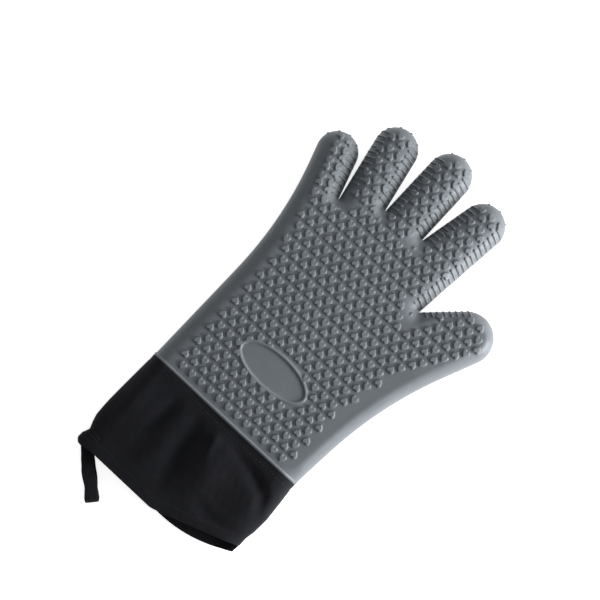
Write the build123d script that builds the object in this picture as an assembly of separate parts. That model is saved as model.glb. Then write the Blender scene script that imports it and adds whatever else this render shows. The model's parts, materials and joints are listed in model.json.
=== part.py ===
from build123d import *
import math
import os

# Five-finger silicone oven glove with a fabric cuff and a hanging loop, lying flat with its palm side up.
# Millimetres. +X points to the thumb side, +Y to the fingertips, +Z up from the table.
# The origin is on the flat underside, on the hand's centre line, where the cuff meets the silicone.

# ---- driving dimensions ----
thickness = 28.0  # whole glove, palm side to back, as it lies
side_radius = 13.0  # rounding of the glove's sides, seen in section
wall = 2.4  # silicone
liner_gap = 0.3
liner_wall = 3.0  # quilted cotton
slit = 0.6  # gap between two segments of a digit
hinge_height = 20.0
web_radius = 0.45  # bottom of the gap between two fingers
pinky_side_radius = 290.0  # sweep from the palm's edge into the little finger
thumb_side_radius = 300.0  # sweep from the palm's edge into the thumb

# Palm, seen from above: it runs under the roots of the fingers and, with spare length, into the cuff.
spare_length = -40.0
palm_points = [
    (-68.9, spare_length),
    (-67.5, 142.0),
    (-47.5, 170.0),
    (-33.0, 184.0),
    (0.0, 188.0),
    (33.0, 183.0),
    (49.7, 150.0),
    (75.6, 92.0),
    (65.0, spare_length),
]
webs = [(-47.5, 174.0), (-17.3, 191.0), (17.0, 193.0), (49.7, 153.4)]
pinky_corner = (-67.6, 136.0)
thumb_corner = (75.0, 85.0)

# Each digit tapers from a root circle to a tip circle: centre and radius of both, then how far from the
# root its two bending places are, and how far each bends, in degrees.
digits = {
    "pinky": ((-47.9, 125.0), 15.7, (-72.7, 200.0), 15.4, (56.5, 76.0), (60, 65)),
    "ring": ((-30.2, 170.0), 16.6, (-42.6, 230.3), 16.4, (32.0, 56.0), (60, 65)),
    "middle": ((-0.5, 170.0), 16.7, (-0.7, 242.2), 16.7, (35.0, 61.0), (60, 65)),
    "index": ((28.0, 145.3), 20.9, (41.7, 231.5), 16.6, (59.0, 83.0), (60, 65)),
    "thumb": ((41.7, 96.4), 35.2, (88.1, 163.9), 19.2, (62.0, 82.0), (40, 50)),
}

# Raised oval frame on the palm side
oval_centre = (2.7, 51.7)
oval_radii = (30.8, 13.8)
oval_rim_width = 1.8
oval_rim_height = 0.8

# Cuff sections: place along the glove, left edge, right edge and height. The cuff flattens to its mouth.
fabric = 1.2
flat_cut = 0.05
cuff_top = 2.2
skirt_end = -8.0  # the silicone reaches this far down inside the cuff
cuff_sections = [
    (cuff_top, -69.0, 68.6, thickness),
    (-9.0, -69.1, 68.8, thickness),
    (-44.0, -70.9, 70.5, 21.0),
    (-86.0, -70.6, 69.5, 13.0),
]
hem_depth = 9.0
hem_end = -80.0
front_hem_curve = [(4.0, hem_end), (34.0, -70.4), (72.0, -57.0)]
back_hem_curve = [(12.0, hem_end), (42.5, -75.4), (72.0, -61.6)]
fold_gap = 0.1
fold_thickness = 1.1
seam_height = 3.2  # of the seam allowances inside the cuff's sides
lining_clearance = 0.5  # the lining starts this far above the hem
lining_top_gap = 0.4  # and ends this far below the silicone
lining_inset = 2.7
lining_thickness = 0.7
stitch_length = 2.6
stitch_pitch = 3.6
stitch_width = 0.7
stitch_depth = 0.4
stitch_row_width = 112.0
edge_stitch_drop = 4.2  # from the cuff's top edge down to its row of stitches
hem_stitch_drop = 1.0  # from the top of the hem down to its row of stitches
hem_stitch_start = -53.0
bartack_rows = (-68.6, -71.2)
bartack_start = -65.0
bartack_count = 9
bartack_pitch = 1.1
bartack_length = 1.6
bartack_depth = 7.0  # the bar-tack's stitches keep to the upper side of the glove

# Hanging loop: a tape folded in two. Its ends are sewn into the left corner of the hem.
loop_root = (-56.1, -84.4)  # where it starts to swing
loop_angle = -41.0
loop_length = 33.5
loop_width = 8.8
loop_ends_length = 4.2
loop_gap = 0.6  # between the loop's rounded end, which turns, and its sewn ends
tape = 1.2
loop_rise = 7.6  # height of the fold's top above the table


def direction(root, tip):
    """Unit vector along a digit, its width direction and its length."""
    dx, dy = tip[0] - root[0], tip[1] - root[1]
    length = math.hypot(dx, dy)
    return (dx / length, dy / length), (dy / length, -dx / length), length


def digit_face(name, grow=0.0):
    """Plan outline of one digit: two circles and their common tangents."""
    root, root_radius, tip, tip_radius = digits[name][:4]
    along, across, length = direction(root, tip)
    lean = math.asin((root_radius - tip_radius) / length)
    rims = []
    for centre, radius in ((root, root_radius + grow), (tip, tip_radius + grow)):
        for side in (-1, 1):
            rims.append(
                [
                    centre[i] + radius * (side * math.cos(lean) * across[i] + math.sin(lean) * along[i])
                    for i in (0, 1)
                ]
            )
    root_left, root_right, tip_left, tip_right = [tuple(p) for p in rims]
    tip_end = tuple(tip[i] + (tip_radius + grow) * along[i] for i in (0, 1))
    root_end = tuple(root[i] - (root_radius + grow) * along[i] for i in (0, 1))
    edges = [
        Line(root_left, tip_left),
        ThreePointArc(tip_left, tip_end, tip_right),
        Line(tip_right, root_right),
        ThreePointArc(root_right, root_end, root_left),
    ]
    return make_face(Curve() + edges)


def glove_outline():
    """The whole silicone part from above, with its webs and side sweeps rounded."""
    outline = make_face(Polyline(*palm_points, close=True))
    for name in digits:
        outline += digit_face(name)
    rounds = [(p, web_radius) for p in webs]
    rounds += [(pinky_corner, pinky_side_radius), (thumb_corner, thumb_side_radius)]
    for point, radius in rounds:
        corner = outline.vertices().sort_by_distance((point[0], point[1], 0))[0]
        outline = fillet(corner, radius)
    return outline


def glove_solid(outline, inset, start):
    """The glove's solid shape, moved in by inset all round, from start up to the fingertips."""
    face = offset(outline, -inset) if inset else outline
    solid = extrude(Pos(0, 0, inset) * face, thickness - 2 * inset)
    flat = solid.edges().filter_by(lambda e: abs(e.bounding_box().size.Z) < 1e-6)
    rim = flat.filter_by(lambda e: e.center().Y > spare_length + inset + 1.0)
    solid = fillet(rim, side_radius - inset)
    return solid - Pos(0, start - 100, 0) * Box(400, 200, 200)


def half_space(name, place, keep_root):
    """Solid that removes one side of a digit at a bending place. The cut opens upwards by half of the bend."""
    root, root_radius, tip, tip_radius, places, bends = digits[name]
    along, across, _ = direction(root, tip)
    reach = 200.0
    low, high = -5.0, thickness + 5.0
    lean = (high - hinge_height) * math.tan(math.radians(bends[place] / 2 + 1))
    side = 1 if keep_root else -1
    profile = [
        (-side * slit / 2, low),
        (-side * slit / 2, hinge_height),
        (-side * (slit / 2 + lean), high),
        (side * reach, high),
        (side * reach, low),
    ]
    origin = hinge_point(name, place)
    plane = Plane(origin=origin, x_dir=(along[0], along[1], 0), z_dir=(across[0], across[1], 0))
    if keep_root:
        half_width = local_radius(name, places[place])
    else:
        half_width = max(root_radius, tip_radius)
    section = plane * make_face(Polyline(*profile, close=True))
    return extrude(section, half_width + 1.2, both=True)


def local_radius(name, distance):
    """Half the width of a digit at a distance from its root."""
    root, root_radius, tip, tip_radius = digits[name][:4]
    _, _, length = direction(root, tip)
    return root_radius + (tip_radius - root_radius) * min(distance / length, 1.0)


def hinge_point(name, place):
    root, _, tip, _, places, _ = digits[name]
    along, _, _ = direction(root, tip)
    return tuple(root[i] + places[place] * along[i] for i in (0, 1)) + (0.0,)


def split_glove(shell, prefix):
    """Cuts a whole-glove shell into its palm and the two segments of each digit."""
    palm = shell
    pieces = {}
    for name in digits:
        region = extrude(Pos(0, 0, -1) * digit_face(name, 0.6), thickness + 2)
        digit = shell & region
        palm -= half_space(name, 0, keep_root=True)
        lower = digit - half_space(name, 0, keep_root=False) - half_space(name, 1, keep_root=True)
        upper = digit - half_space(name, 1, keep_root=False)
        pieces[f"{prefix}_{name}_base"] = lower
        pieces[f"{prefix}_{name}_tip"] = upper
    pieces[f"{prefix}_palm"] = palm
    return pieces


def cuff_solid(inset):
    """The cuff's outer shape, moved in by inset, through its sections. Its underside is cut flat."""
    faces = []
    for y, left, right, height in cuff_sections:
        width = right - left - 2 * inset
        depth = height - 2 * inset + flat_cut
        radius = min(side_radius, height / 2 - 0.5) - inset
        middle = ((left + right) / 2, y, (height - flat_cut) / 2)
        plane = Plane(origin=middle, x_dir=(1, 0, 0), z_dir=(0, -1, 0))
        faces.append(plane * RectangleRounded(width, depth, radius))
    return loft(faces, ruled=True) - Pos(0, 0, inset - 50) * Box(400, 400, 100)


def hem_region(front, raise_by=0.0):
    """Everything above the hem line, from over the cuff. The front of the hem is a little shorter."""
    curve = ThreePointArc(*(front_hem_curve if front else back_hem_curve))
    start, end = curve @ 0, curve @ 1
    edges = [
        curve,
        Line(end, (90, end.Y)),
        Line((90, end.Y), (90, 60)),
        Line((90, 60), (-90, 60)),
        Line((-90, 60), (-90, start.Y)),
        Line((-90, start.Y), start),
    ]
    return extrude(Pos(0, raise_by, -5) * make_face(Curve() + edges), thickness + 10)


def upper_half():
    """The space above the middle of the cuff's height."""
    middle = [(y, height / 2) for y, _, _, height in cuff_sections]
    points = [(cuff_top + 5, thickness / 2)] + middle
    points += [(middle[-1][0] - 5, middle[-1][1]), (middle[-1][0] - 5, 60), (cuff_top + 5, 60)]
    plane = Plane(origin=(-100, 0, 0), x_dir=(0, 1, 0), z_dir=(1, 0, 0))
    return extrude(plane * make_face(Polyline(*points, close=True)), 200)


def stitch_boxes(row, count, first_x):
    """A row of narrow upright blocks, one per stitch, each turned along the row."""
    blocks = []
    for i in range(count):
        x = first_x + i * stitch_pitch
        here, ahead = row(x), row(x + 0.5)
        turn = math.degrees(math.atan2(ahead - here, 0.5))
        blocks.append(Pos(x, here, thickness / 2) * Rot(0, 0, turn) * Box(stitch_length, stitch_width, 60))
    return blocks


def edge_row(x):
    """The straight stitch line under the silicone's edge."""
    return cuff_top - edge_stitch_drop


def front_hem_row(x):
    """The stitch line on the front of the hem, which rises towards the thumb side with the hem."""
    beyond = max(x - front_hem_curve[0][0], 0.0)
    return hem_end + hem_depth - hem_stitch_drop + 0.06 * beyond + 0.0045 * beyond**2


def build_cuff():
    """Front and back panels, folded hem, side seams, lining and both rows of stitches."""
    outer = cuff_solid(0)
    cloth = outer - cuff_solid(fabric)
    above = upper_half()
    front = cloth & above & hem_region(True)
    back = (cloth - above) & hem_region(False)

    # stitches lie in the outer skin of the panels, flush with them
    skin = outer - cuff_solid(stitch_depth)
    count = int(stitch_row_width / stitch_pitch)
    edge_start = -count * stitch_pitch / 2
    edge_stitches = [skin & block for block in stitch_boxes(edge_row, count, edge_start)]
    hem_blocks = stitch_boxes(front_hem_row, count, hem_stitch_start)
    hem_stitches = [skin & block & above for block in hem_blocks]
    for block in edge_stitches + hem_stitches:
        front -= block
        back -= block

    fold_inset = fabric + fold_gap
    fold = cuff_solid(fold_inset) - cuff_solid(fold_inset + fold_thickness)
    hem_front = (fold & above & hem_region(True)) - hem_region(True, hem_depth)
    hem_back = ((fold - above) & hem_region(False)) - hem_region(False, hem_depth)

    inside = hem_region(True, hem_depth + lining_clearance)
    inside -= Pos(0, 50 + skirt_end - lining_top_gap, 0) * Box(400, 100, 200)
    lining = (cuff_solid(lining_inset) - cuff_solid(lining_inset + lining_thickness)) & inside

    seams = {}
    low = Pos(0, 0, -seam_height / 2) * above
    high = Pos(0, 0, seam_height / 2) * above
    for side, x in (("left", cuff_sections[0][1]), ("right", cuff_sections[0][2])):
        band = Pos(x, -40, 0) * Box(10, 200, 200)
        seams[f"cuff_{side}_seam"] = (fold & inside & band & low) - high
    return {
        "cuff_front_panel": front,
        "cuff_back_panel": back,
        "cuff_front_hem": hem_front,
        "cuff_back_hem": hem_back,
        "cuff_lining": lining,
        "cuff_edge_stitches": Compound(children=[s for b in edge_stitches for s in b.solids()]),
        "cuff_hem_stitches": Compound(children=[s for b in hem_stitches for s in b.solids()]),
        **seams,
    }


def build_loop():
    """The folded tape, seen from its edge, runs out low, turns over at the fold and comes back high."""
    half = loop_rise / 2
    neck = loop_length * 0.2
    outer = [(0, half - tape), (neck, 0), (loop_length - half, 0)]
    path = [
        Spline(outer[0], (neck * 0.5, half * 0.25), outer[1], tangents=[(1, -0.6), (1, 0)]),
        Line(outer[1], outer[2]),
        ThreePointArc(outer[2], (loop_length, half), (loop_length - half, loop_rise)),
        Line((loop_length - half, loop_rise), (neck, loop_rise)),
        Spline((neck, loop_rise), (neck * 0.5, half * 1.75), (0, half + tape), tangents=[(-1, 0), (-1, -0.6)]),
        Line((0, half + tape), (0, half - tape)),
    ]
    eye_start = neck + 1.0
    eye = [
        Line((eye_start, tape), (loop_length - half, tape)),
        ThreePointArc(
            (loop_length - half, tape),
            (loop_length - tape, half),
            (loop_length - half, loop_rise - tape),
        ),
        Line((loop_length - half, loop_rise - tape), (eye_start, loop_rise - tape)),
        ThreePointArc((eye_start, loop_rise - tape), (eye_start - 2.4, half), (eye_start, tape)),
    ]
    profile = make_face(Curve() + path) - make_face(Curve() + eye)
    turning_end = Pos(loop_root[0], loop_root[1], half) * Cylinder(loop_width / 2, 2 * tape)
    return extrude(loop_plane() * profile, loop_width / 2, both=True) + turning_end


def loop_plane():
    """Upright plane along the loop, from the place where it starts to swing."""
    turn = math.radians(loop_angle)
    along = (math.cos(turn), math.sin(turn), 0)
    return Plane(origin=(loop_root[0], loop_root[1], 0), x_dir=along, z_dir=(along[1], -along[0], 0))


def build_loop_ends():
    """The tape's two ends, one on the other, from inside the hem's corner to the loop."""
    start = loop_width / 2 + loop_gap
    profile = Pos(-start - loop_ends_length / 2, loop_rise / 2) * Rectangle(loop_ends_length, 2 * tape)
    return extrude(loop_plane() * profile, loop_width / 2, both=True)


def build_bartack():
    """Two short rows of dense stitches that hold the loop's ends in the hem's corner."""
    skin = cuff_solid(0) - cuff_solid(stitch_depth)
    block = Box(stitch_width, bartack_length, 2 * (thickness - bartack_depth))
    tacks = []
    for y in bartack_rows:
        for i in range(bartack_count):
            tacks.append(skin & (Pos(bartack_start + i * bartack_pitch, y, thickness) * block))
    return tacks


def build_silicone_and_liner():
    outline = glove_outline()
    whole = glove_solid(outline, 0, cuff_top)
    skirt = glove_solid(outline, fabric + 0.1, skirt_end)
    skirt -= Pos(0, 200 + cuff_top, 0) * Box(400, 400, 200)
    cavity = glove_solid(outline, wall, skirt_end - 1)
    shell = (whole + skirt) - cavity
    centre = Pos(oval_centre[0], oval_centre[1], thickness)
    rim = Ellipse(*oval_radii) - Ellipse(oval_radii[0] - oval_rim_width, oval_radii[1] - oval_rim_width)
    shell += extrude(centre * rim, oval_rim_height)

    liner_inset = wall + liner_gap
    liner = glove_solid(outline, liner_inset, skirt_end)
    liner -= glove_solid(outline, liner_inset + liner_wall, skirt_end - 1)
    return {**split_glove(shell, "silicone"), **split_glove(liner, "liner")}


os.makedirs("parts", exist_ok=True)
nodes = build_silicone_and_liner()
nodes.update(build_cuff())
nodes["loop_tape"] = build_loop()
nodes["loop_ends"] = build_loop_ends()
tacks = build_bartack()
nodes["loop_bartack"] = Compound(children=[s for t in tacks for s in t.solids()])
for tack in tacks:
    nodes["cuff_front_panel"] -= tack
for node, shape in nodes.items():
    export_step(shape, f"parts/{node}.step")
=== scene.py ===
import json
import math

import bpy
import numpy as np
from mathutils import Matrix, Vector, kdtree
from mathutils.geometry import delaunay_2d_cdt


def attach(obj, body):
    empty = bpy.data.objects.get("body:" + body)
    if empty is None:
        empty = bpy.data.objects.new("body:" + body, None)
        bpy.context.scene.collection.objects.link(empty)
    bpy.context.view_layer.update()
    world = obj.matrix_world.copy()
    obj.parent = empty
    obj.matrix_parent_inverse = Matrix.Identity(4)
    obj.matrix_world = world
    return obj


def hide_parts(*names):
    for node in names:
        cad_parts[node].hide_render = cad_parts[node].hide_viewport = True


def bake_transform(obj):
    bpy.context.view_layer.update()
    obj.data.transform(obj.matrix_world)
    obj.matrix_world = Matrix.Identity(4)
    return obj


# Silicone oven glove, lying flat with its palm side up. Lengths below are in millimetres and become metres
# in add_mesh. The digits' directions and bending places come from the frame's joints.
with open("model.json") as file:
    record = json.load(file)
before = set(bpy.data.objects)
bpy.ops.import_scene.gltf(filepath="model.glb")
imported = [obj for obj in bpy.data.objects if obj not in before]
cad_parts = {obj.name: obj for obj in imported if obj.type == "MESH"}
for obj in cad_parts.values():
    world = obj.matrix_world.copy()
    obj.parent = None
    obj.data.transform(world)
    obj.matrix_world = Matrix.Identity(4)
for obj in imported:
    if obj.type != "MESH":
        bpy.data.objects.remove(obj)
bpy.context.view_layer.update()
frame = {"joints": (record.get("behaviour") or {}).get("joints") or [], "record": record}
MM = 0.001

JOINTS = {j["name"]: j for j in frame["joints"]}

# ---- glove shape
half_thickness = 14.0
back_relief = 1.3  # the back's smooth surface stays this far over the table, and its hearts touch it
side_straight = 1.0  # half of the upright strip at the parting line
side_rise = half_thickness - side_straight
side_run = 15.0  # the sides are rounded over this distance from the edge
flat_side_run = 9.0  # and over less at the right-hand edge of the palm and thumb
web_radius = 0.45
cuff_top = 2.2  # the silicone covers the cuff's edge from here
skirt_end = -8.0  # and goes on inside the cuff down to here
skirt_inset = 1.3  # this much smaller all round
skirt_taper = 1.6  # and a little smaller still at its end
seam_ridge = 0.28  # the parting line stands out this far
palm_split = 92.0  # the palm's high and low pieces meet here
mesh_step = 0.38
fine_step = 0.25  # between the outline's points that distances are measured from
arc_turn = 0.12  # the largest turn between two points of a small arc, in radians
ring_run = 4.6  # from the outline inwards, the mesh follows the outline this far
middle_bend_half = 9.0  # half of the bending length at a digit's middle

# name: root circle's radius and its distance before the knuckle, tip circle's centre and radius,
# half of the bending length at the knuckle
DIGITS = {
    "pinky": (14.4, 56.5, (-72.7, 200.0), 15.4, 9.0),
    "ring": (16.2, 32.0, (-42.6, 230.3), 16.4, 10.0),
    "middle": (16.7, 35.0, (-0.7, 242.2), 16.7, 10.0),
    "index": (20.9, 59.0, (41.7, 231.5), 16.6, 10.0),
    "thumb": (35.2, 62.0, (88.1, 163.9), 19.2, 10.0),
}
# a digit's pieces take what lies this close to its axis, and up to here beyond its knuckle
thumb_half_width = 30.0
digit_margin = 2.5  # on a finger, beyond its tip's radius
digit_reach = 90.0
PALM_LEFT = ((-68.9, -40.0), (-67.5, 142.0))
PALM_RIGHT = ((75.6, 92.0), (65.0, -40.0))
# between the palm's sides and the outer digits: the side before the sweep, its radius and its name
SWEEPS = {"palm_left": (290.0, "pinky_left"), "thumb_right": (300.0, "thumb_right")}
BARE_SIDES = {"palm_left", "pinky_left", "thumb_right", "palm_right"}


def unit(v):
    v = np.asarray(v, float)
    return v / np.linalg.norm(v)


class Digit:
    """A digit's axis, circles and bending places, from the frame's joints."""

    def __init__(self, name):
        self.name = name
        self.root_radius, root_distance, tip, self.tip_radius, self.bend_half = DIGITS[name]
        self.tip = np.array(tip)
        self.knuckle = np.array(JOINTS[f"{name}_knuckle"]["pos_m"][:2]) / MM
        self.middle = np.array(JOINTS[f"{name}_middle_bend"]["pos_m"][:2]) / MM
        self.along = unit(self.middle - self.knuckle)
        self.across = np.array([self.along[1], -self.along[0]])
        self.root = self.knuckle - root_distance * self.along
        self.length = float((self.tip - self.root) @ self.along)
        lean = math.asin((self.root_radius - self.tip_radius) / self.length)
        self.left_normal = -self.across * math.cos(lean) + self.along * math.sin(lean)
        self.right_normal = self.across * math.cos(lean) + self.along * math.sin(lean)

    def place(self, points):
        """Distance of points beyond the knuckle, along the digit."""
        return (points - self.knuckle) @ self.along

    def side(self, points):
        """Distance of points to the right of the digit's axis."""
        return (points - self.knuckle) @ self.across

    def piece_starts(self):
        """Where the base piece and the tip piece begin, beyond the knuckle."""
        between = float((self.middle - self.knuckle) @ self.along)
        return -self.bend_half, (self.bend_half + between - middle_bend_half) / 2


digits = {name: Digit(name) for name in DIGITS}


# ---- outline
def tangent_line(digit, side):
    """A digit's straight side as its start and end, up on the left and down on the right."""
    normal = digit.left_normal if side == "left" else digit.right_normal
    start = digit.root + digit.root_radius * normal
    end = digit.tip + digit.tip_radius * normal
    return (start, end) if side == "left" else (end, start)


def cross(a, b):
    return a[0] * b[1] - a[1] * b[0]


def corner_arc(first, second, radius, step):
    """Rounds the corner between two straight sides that turn away from the glove."""
    d1, d2 = unit(np.subtract(*first[::-1])), unit(np.subtract(*second[::-1]))
    p, q = np.array(first[0], float), np.array(second[0], float)
    corner = p + d1 * (cross(q - p, d2) / cross(d1, d2))
    turn = math.atan2(cross(d1, d2), d1 @ d2)
    reach = radius * math.tan(turn / 2)
    start, end = corner - reach * d1, corner + reach * d2
    left = np.array([-d1[1], d1[0]])
    centre = start + radius * left
    count = max(int(radius * turn / step), int(turn / arc_turn), 2)
    points, normals = [], []
    for i in range(1, count):
        angle = turn * i / count
        outward = math.cos(angle) * -left + math.sin(angle) * d1
        points.append(centre + radius * outward)
        normals.append(outward)
    return start, end, points, normals


def tip_arc(digit, step):
    """The round end of a digit, from its left side to its right side."""
    a0 = math.atan2(digit.left_normal[1], digit.left_normal[0])
    a1 = math.atan2(digit.right_normal[1], digit.right_normal[0])
    turn = (a0 - a1) % (2 * math.pi)
    count = int(digit.tip_radius * turn / step)
    angles = a0 - turn * np.arange(1, count) / count
    outward = np.stack([np.cos(angles), np.sin(angles)], 1)
    return list(digit.tip + digit.tip_radius * outward), list(-outward)


def glove_chain(step):
    """The outline from the cuff up the left side, round the digits and down the right side.

    Gives points, inward normals and each point's side."""
    lines = [("palm_left", PALM_LEFT)]
    for name, digit in digits.items():
        lines.append((f"{name}_left", tangent_line(digit, "left")))
        lines.append((f"{name}_right", tangent_line(digit, "right")))
    lines.append(("palm_right", PALM_RIGHT))
    joins = []
    for (side, line_a), (_, line_b) in zip(lines, lines[1:]):
        name, which = side.split("_")
        if name in digits and which == "left":
            joins.append((line_a[1], line_b[0], *tip_arc(digits[name], step), f"{name}_tip"))
        else:
            radius, label = SWEEPS.get(side, (web_radius, "web"))
            joins.append((*corner_arc(line_a, line_b, radius, step), label))

    def at_skirt(line):
        (x0, y0), (x1, y1) = line
        share = (skirt_end - y0) / (y1 - y0)
        return np.array([x0 + share * (x1 - x0), skirt_end])

    points, normals, sides = [], [], []
    here = at_skirt(PALM_LEFT)
    last = (at_skirt(PALM_RIGHT), None, [], [], "")
    for (name, _), (goal, beyond, arc, arc_normals, label) in zip(lines, joins + [last]):
        count = max(int(np.linalg.norm(goal - here) / step), 1)
        ahead = unit(goal - here)
        points += [here + (goal - here) * i / count for i in range(count)] + [goal] + arc
        normals += [np.array([ahead[1], -ahead[0]])] * (count + 1) + arc_normals
        sides += [name] * (count + 1) + [label] * len(arc)
        here = beyond
    return np.array(points), np.array(normals), sides


class Outline:
    """The glove from above, with distances to its edge."""

    def __init__(self):
        self.points, self.normals, _ = glove_chain(mesh_step)
        self.fine, self.fine_normals, sides = glove_chain(fine_step)
        self.fine_sides = np.array(sides)
        self.tree = kdtree.KDTree(len(self.fine))
        for i, (x, y) in enumerate(self.fine):
            self.tree.insert((x, y, 0), i)
        self.tree.balance()

    def distance(self, xy):
        """Distance inside the edge, negative outside, and the nearest place on the edge."""
        nearest = np.array([self.tree.find((x, y, 0))[1] for x, y in xy])
        best = np.full(len(xy), np.inf)
        for low in (np.maximum(nearest - 1, 0), nearest):
            high = np.minimum(low + 1, len(self.fine) - 1)
            a, b = self.fine[low], self.fine[high]
            ab = b - a
            size = np.maximum((ab**2).sum(1), 1e-12)
            share = np.clip(((xy - a) * ab).sum(1) / size, 0, 1)
            gap = np.linalg.norm(xy - (a + share[:, None] * ab), axis=1)
            best = np.minimum(best, gap)
        inside = ((xy - self.fine[nearest]) * self.fine_normals[nearest]).sum(1)
        return np.where(inside >= 0, best, -best), nearest


outline = Outline()


# ---- raised details
heart_pitch = 8.74  # between columns
heart_column = (0.9, 0.009)  # a column's place across the glove, and its drift along it
heart_first = {1: 10.8, -1: 17.9}  # the first row of hearts that point to the cuff, and away from it
palm_rows, palm_row_pitch, finger_row_pitch = 12, 12.9, 11.9
heart_size = 0.9
heart_height = 1.3
heart_edge = (-0.35, 0.45)  # its flank rises between these distances inside its outline
heart_reach = (4.2, 4.6)  # a heart lies within this distance of its middle, across and along
# mesh rings of a heart: distance inside its outline, number of points
HEART_RINGS = ((-0.36, 40), (-0.16, 40), (0.08, 38), (0.32, 34), (0.52, 28), (1.05, 12))
# how far hearts keep from the smooth edges: places along the glove, distance at each
left_margin = ((164.0, 166.0), (14.1, 11.6))
right_margin = ((104.0, 160.0), (16.0, 7.9))
rib_margin = {"thumb": 4.3, "other": 6.9}  # from the ribbed edges
tip_margin = 5.6  # from the fingertips' edges
little_side, little_start, little_pitch = -52.0, 170.0, 8.1  # the little finger's own two columns
little_shift = 2.3
rib_pitch = 4.4
rib_height = 0.85
rib_half_width = 0.55
rib_reach = {"thumb": 4.6, "other": 7.3}
rib_droop = 0.1  # the ribs on the right-hand sides slant towards the cuff
nub_radius = 0.7
tip_nub_height, web_nub_height = 0.75, 0.8
# no hearts in these rounds near the webs: centre and radius
SMOOTH_SPOTS = [
    ((17.5, 185.0), 7.2),
    ((-16.0, 185.0), 5.8),
    ((-40.0, 176.5), 5.8),
    ((49.7, 145.4), 9.2),
    ((42.0, 151.8), 4.6),
    ((57.5, 151.8), 4.6),
]
oval_centre = np.array([2.9, 50.6])
oval_radii = np.array([29.6, 12.7])
oval_height = 1.1
oval_half_width = 0.95


def smooth(t):
    """0 below 0, 1 above 1, and smooth between them."""
    t = np.clip(t, 0, 1)
    return t * t * (3 - 2 * t)


def rise(value, low, high):
    """0 up to low, 1 from high, and smooth between them."""
    return smooth((value - low) / (high - low))


def heart_inside(x, y):
    """How far inside a heart that points to -y a place is, negative outside."""
    x, y = np.abs(x) / heart_size, y / heart_size
    lobes = 1.6 - np.hypot(x - 1.45, y - 1.0)
    drop = np.maximum(0.9 - y, 0) / 4.35  # 0 at the lobes' middles, 1 at the tip
    lean = 1.28 * drop**0.85
    body = np.minimum((3.05 * (1 - drop**1.85) - x) / np.hypot(1, lean), 1.3 - y)
    return np.maximum(lobes, body) * heart_size


def heart_row(row, way):
    """Place of a row of hearts along the glove. Rows lie a little closer on the fingers."""
    on_fingers = max(row - palm_rows, 0)
    return heart_first[way] + palm_row_pitch * min(row, palm_rows) + finger_row_pitch * on_fingers


def heart_places():
    """Centres of all hearts and which way each points; rows alternate."""
    places = []
    start, drift = heart_column
    for row in range(20):
        for column in range(-9, 13):
            for way, shift in ((1, 0.5), (-1, 0.0)):
                y = heart_row(row, way)
                places.append((start + (column + shift) * heart_pitch + drift * y, y, way))
    places = [p for p in places if p[0] > little_side or p[1] < little_start]
    little = digits["pinky"]
    for row in range(20):  # on the little finger two columns follow its slant
        for way in (1, -1):
            y = heart_row(row, way)
            middle = little.tip[0] + (y - little.tip[1]) * little.along[0] / little.along[1] + little_shift
            places += [(middle + share * little_pitch, y, way) for share in (-0.5, 0.5) if y > little_start]
    places = np.array(places)
    edge, nearest = outline.distance(places[:, :2])
    kept = []
    for (x, y, way), gap, side in zip(places, edge, outline.fine_sides[nearest]):
        if side.endswith("_tip"):
            margin = tip_margin
        elif side in BARE_SIDES:
            margin = np.interp(y, *(right_margin if x > 0 else left_margin))
        else:
            margin = rib_margin.get(side[:5], rib_margin["other"])
        bare = any(math.dist((x, y), centre) < radius for centre, radius in SMOOTH_SPOTS)
        oval = math.hypot(*((np.array([x, y]) - oval_centre) / (oval_radii + 0.6)))
        if gap >= margin and oval > 1.0 and not bare:
            kept.append((x, y, way))
    return kept


def heart_distance(xy):
    """How far inside its nearest heart each place is, -1 away from all hearts."""
    inside = np.full(len(xy), -1.0)
    order = np.argsort(xy[:, 1])
    rows = xy[order, 1]
    across, along = heart_reach
    for x, y, way in hearts:
        some = order[np.searchsorted(rows, y - along) : np.searchsorted(rows, y + along)]
        some = some[np.abs(xy[some, 0] - x) < across]
        inside[some] = np.maximum(inside[some], heart_inside(xy[some, 0] - x, (xy[some, 1] - y) * way))
    return inside


def even_steps(points, count, endpoint=True):
    """The line through the points, at even steps."""
    keys = np.concatenate([[0], np.cumsum(np.linalg.norm(np.diff(points, axis=0), axis=1))])
    even = np.linspace(0, keys[-1], count, endpoint=endpoint)
    return np.column_stack([np.interp(even, keys, column) for column in points.T])


def heart_mesh_points():
    """Rings of points along one heart's contours, for a mesh with crisp flanks."""
    angles = np.linspace(-math.pi / 2, 1.5 * math.pi, 360, endpoint=False)
    rays = np.column_stack([np.cos(angles), np.sin(angles)])
    rings = []
    for depth, count in HEART_RINGS:
        low, high = np.zeros(len(rays)), np.full(len(rays), 5.0)
        for _ in range(24):
            mid = (low + high) / 2
            within = heart_inside(*(rays * mid[:, None]).T) > depth
            low, high = np.where(within, mid, low), np.where(within, high, mid)
        contour = rays * low[:, None]
        rings.append(even_steps(np.vstack([contour, contour[:1]]), count, endpoint=False))
    rings.append(np.zeros((1, 2)))
    return np.concatenate(rings)


def rib_windows():
    """Where ribs run on each side: digit, which side, and the stretch along the digit beyond its knuckle."""
    rows = []
    for name, digit in digits.items():
        start = -digit.bend_half + 1.0
        end = float((digit.tip - digit.knuckle) @ digit.along) + 6.0
        if name != "pinky":
            rows.append((digit, -1, start if name != "thumb" else start - 2, end))
        if name != "thumb":
            low = start - 38.0 if name == "index" else start
            rows.append((digit, 1, low, end))
    return rows


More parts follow.
